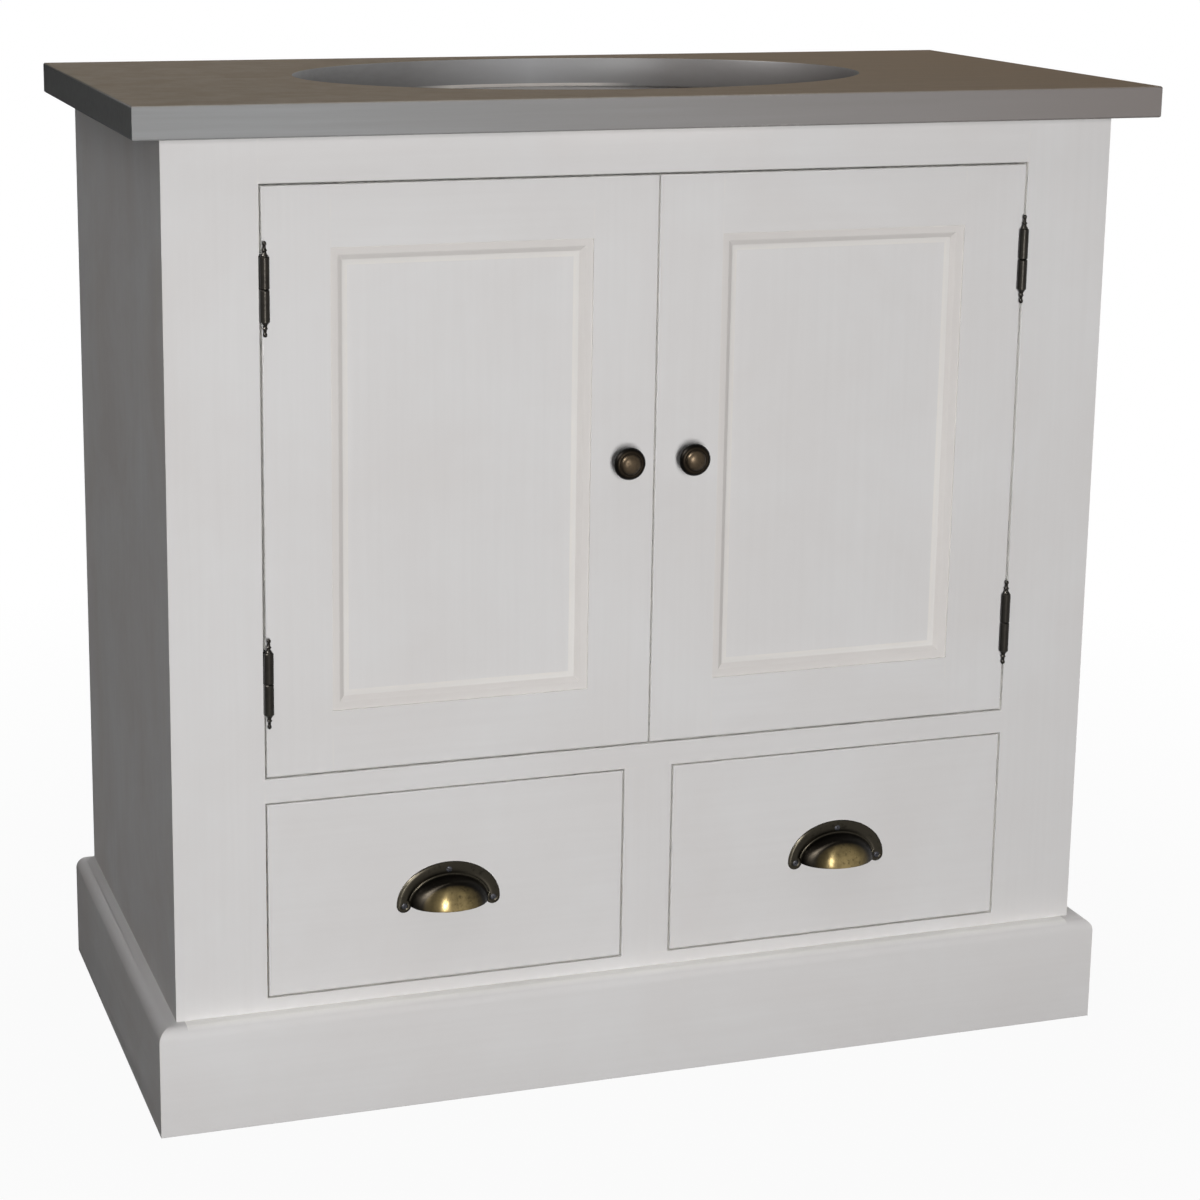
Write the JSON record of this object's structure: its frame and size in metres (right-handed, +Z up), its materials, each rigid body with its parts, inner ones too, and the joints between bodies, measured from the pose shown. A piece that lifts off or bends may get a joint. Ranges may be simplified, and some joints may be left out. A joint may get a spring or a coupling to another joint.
{
  "type": "vanity unit",
  "caption": "Free-standing painted bathroom vanity: panelled cupboard doors over inset drawers with cup pulls, on a plinth, under a grey worktop with an oval basin cut-out.",
  "frame": {"origin": "on the floor, under the middle of the worktop", "axes": "+X to the right as seen from the front, -Y out of the doors towards the user, +Z up"},
  "size_m": [0.9, 0.45, 0.87],
  "materials": {
    "cabinet_paint": "satin paint in a warm light grey over pine",
    "worktop_grey": "satin mid-grey paint over solid timber",
    "bare_pine": "planed, unpainted pine",
    "plywood": "sanded plywood",
    "antique_brass": "antiqued brass, dark in the hollows and rubbed bright on the high spots",
    "hinge_bronze": "near-black bronzed steel",
    "zinc_steel": "zinc plated",
    "brown_plastic": "matt moulded"
  },
  "bodies": {
    "cabinet": {"worktop": "worktop_grey", "left_side_panel": "cabinet_paint", "right_side_panel": "cabinet_paint", "back_panel": "plywood", "rear_top_rail": "cabinet_paint", "cupboard_floor": "cabinet_paint", "base_board": "cabinet_paint", "drawer_divider": "cabinet_paint", "left_frame_stile": "cabinet_paint", "right_frame_stile": "cabinet_paint", "top_frame_rail": "cabinet_paint", "middle_frame_rail": "cabinet_paint", "bottom_frame_rail": "cabinet_paint", "drawer_mullion": "cabinet_paint", "plinth_front": "cabinet_paint", "plinth_left": "cabinet_paint", "plinth_right": "cabinet_paint", "plinth_blocks": "bare_pine", "top_cleats": "bare_pine", "worktop_screws": "zinc_steel", "drawer_guides": "bare_pine", "drawer_stops": "bare_pine", "door_catch": "brown_plastic", "frame_hinge_leaves": "hinge_bronze", "hinge_pins": "hinge_bronze", "cabinet_screws": "zinc_steel"},
    "left_door": {"left_door_hinge_stile": "cabinet_paint", "left_door_meeting_stile": "cabinet_paint", "left_door_top_rail": "cabinet_paint", "left_door_bottom_rail": "cabinet_paint", "left_door_panel": "cabinet_paint", "left_door_moulding": "cabinet_paint", "left_door_knob": "antique_brass", "left_door_hinge_leaves": "hinge_bronze", "left_door_strike": "zinc_steel", "left_door_screws": "zinc_steel"},
    "right_door": {"right_door_hinge_stile": "cabinet_paint", "right_door_meeting_stile": "cabinet_paint", "right_door_top_rail": "cabinet_paint", "right_door_bottom_rail": "cabinet_paint", "right_door_panel": "cabinet_paint", "right_door_moulding": "cabinet_paint", "right_door_knob": "antique_brass", "right_door_hinge_leaves": "hinge_bronze", "right_door_strike": "zinc_steel", "right_door_screws": "zinc_steel"},
    "left_drawer": {"left_drawer_front": "cabinet_paint", "left_drawer_left_side": "bare_pine", "left_drawer_right_side": "bare_pine", "left_drawer_back": "bare_pine", "left_drawer_bottom": "plywood", "left_drawer_pull": "antique_brass", "left_drawer_pull_screws": "antique_brass"},
    "right_drawer": {"right_drawer_front": "cabinet_paint", "right_drawer_left_side": "bare_pine", "right_drawer_right_side": "bare_pine", "right_drawer_back": "bare_pine", "right_drawer_bottom": "plywood", "right_drawer_pull": "antique_brass", "right_drawer_pull_screws": "antique_brass"}
  },
  "joints": [
    {"name": "left_door_hinge", "type": "hinge", "parent": "cabinet", "child": "left_door", "pos_m": [-0.3397, -0.1936, 0.55325], "axis": [0, 0, -1], "range_deg": [0, 180]},
    {"name": "right_door_hinge", "type": "hinge", "parent": "cabinet", "child": "right_door", "pos_m": [0.3397, -0.1936, 0.55325], "axis": [0, 0, 1], "range_deg": [0, 180]},
    {"name": "left_drawer_slide", "type": "slide", "parent": "cabinet", "child": "left_drawer", "axis": [0, -1, 0], "range_m": [0, 0.28]},
    {"name": "right_drawer_slide", "type": "slide", "parent": "cabinet", "child": "right_drawer", "axis": [0, -1, 0], "range_m": [0, 0.28]}
  ]
}
